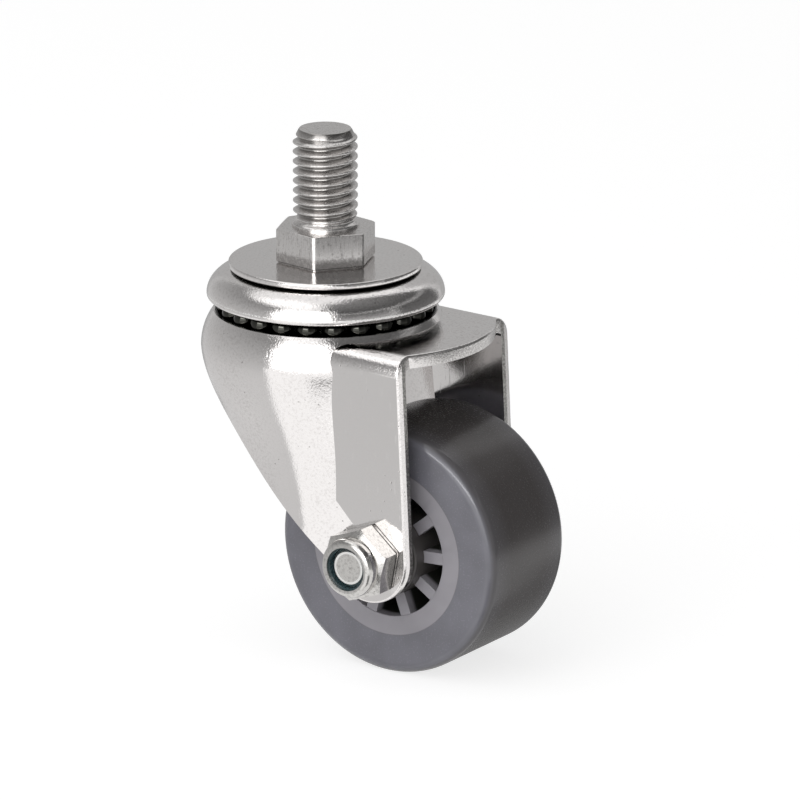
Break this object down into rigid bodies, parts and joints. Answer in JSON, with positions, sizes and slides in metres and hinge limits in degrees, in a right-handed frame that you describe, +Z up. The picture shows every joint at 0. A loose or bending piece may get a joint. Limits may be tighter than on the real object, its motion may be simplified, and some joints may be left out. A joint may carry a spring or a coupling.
{
  "type": "swivel castor",
  "caption": "Stem-mounted swivel castor: a threaded stem on a ball-bearing swivel, a pressed fork and a soft-tyred wheel on a bolted axle.",
  "frame": {"origin": "on the swivel axis, at the top face of the stem's hexagon, where the castor seats against what it is screwed into", "axes": "+Z up along the stem and the swivel axis, +X towards the trailing wheel, the axle along Y with its nut on -Y"},
  "size_m": [0.0552, 0.04, 0.0795],
  "materials": {
    "plated_steel": "bright nickel plating, near mirror, with fine scratches",
    "stem_steel": "dull zinc plating",
    "ball_steel": "polished bearing steel, greased",
    "fastener_steel": "bright zinc plating",
    "sleeve_steel": "plain steel tube",
    "hub_plastic": "satin grey moulded plastic",
    "tyre_rubber": "smooth satin grey elastomer",
    "insert_nylon": "dark blue-green nylon"
  },
  "bodies": {
    "stem_group": {"stem": "stem_steel", "top_washer": "plated_steel", "upper_race": "plated_steel", "lower_race": "plated_steel"},
    "upper_ball_row": {"upper_balls": "ball_steel"},
    "lower_ball_row": {"lower_balls": "ball_steel"},
    "fork_group": {"fork": "plated_steel", "axle_sleeve": "sleeve_steel", "axle_bolt": "fastener_steel", "lock_nut": "fastener_steel", "nut_insert": "insert_nylon"},
    "wheel": {"wheel_hub": "hub_plastic", "tyre": "tyre_rubber"}
  },
  "joints": [
    {"name": "swivel", "type": "hinge", "parent": "stem_group", "child": "fork_group", "pos_m": [0, 0, -0.01245], "axis": [0, 0, 1], "continuous": true},
    {"name": "wheel_spin", "type": "hinge", "parent": "fork_group", "child": "wheel", "pos_m": [0.01745, 0, -0.04569], "axis": [0, 1, 0], "continuous": true},
    {"name": "upper_ball_roll", "type": "hinge", "parent": "stem_group", "child": "upper_ball_row", "pos_m": [0, 0, -0.0124], "axis": [0, 0, 1], "continuous": true},
    {"name": "lower_ball_roll", "type": "hinge", "parent": "stem_group", "child": "lower_ball_row", "pos_m": [0, 0, -0.016], "axis": [0, 0, 1], "continuous": true}
  ],
  "couplings": [
    {"joint": "upper_ball_roll", "follows": "swivel", "ratio": 0.5},
    {"joint": "lower_ball_roll", "follows": "swivel", "ratio": 0.5}
  ]
}
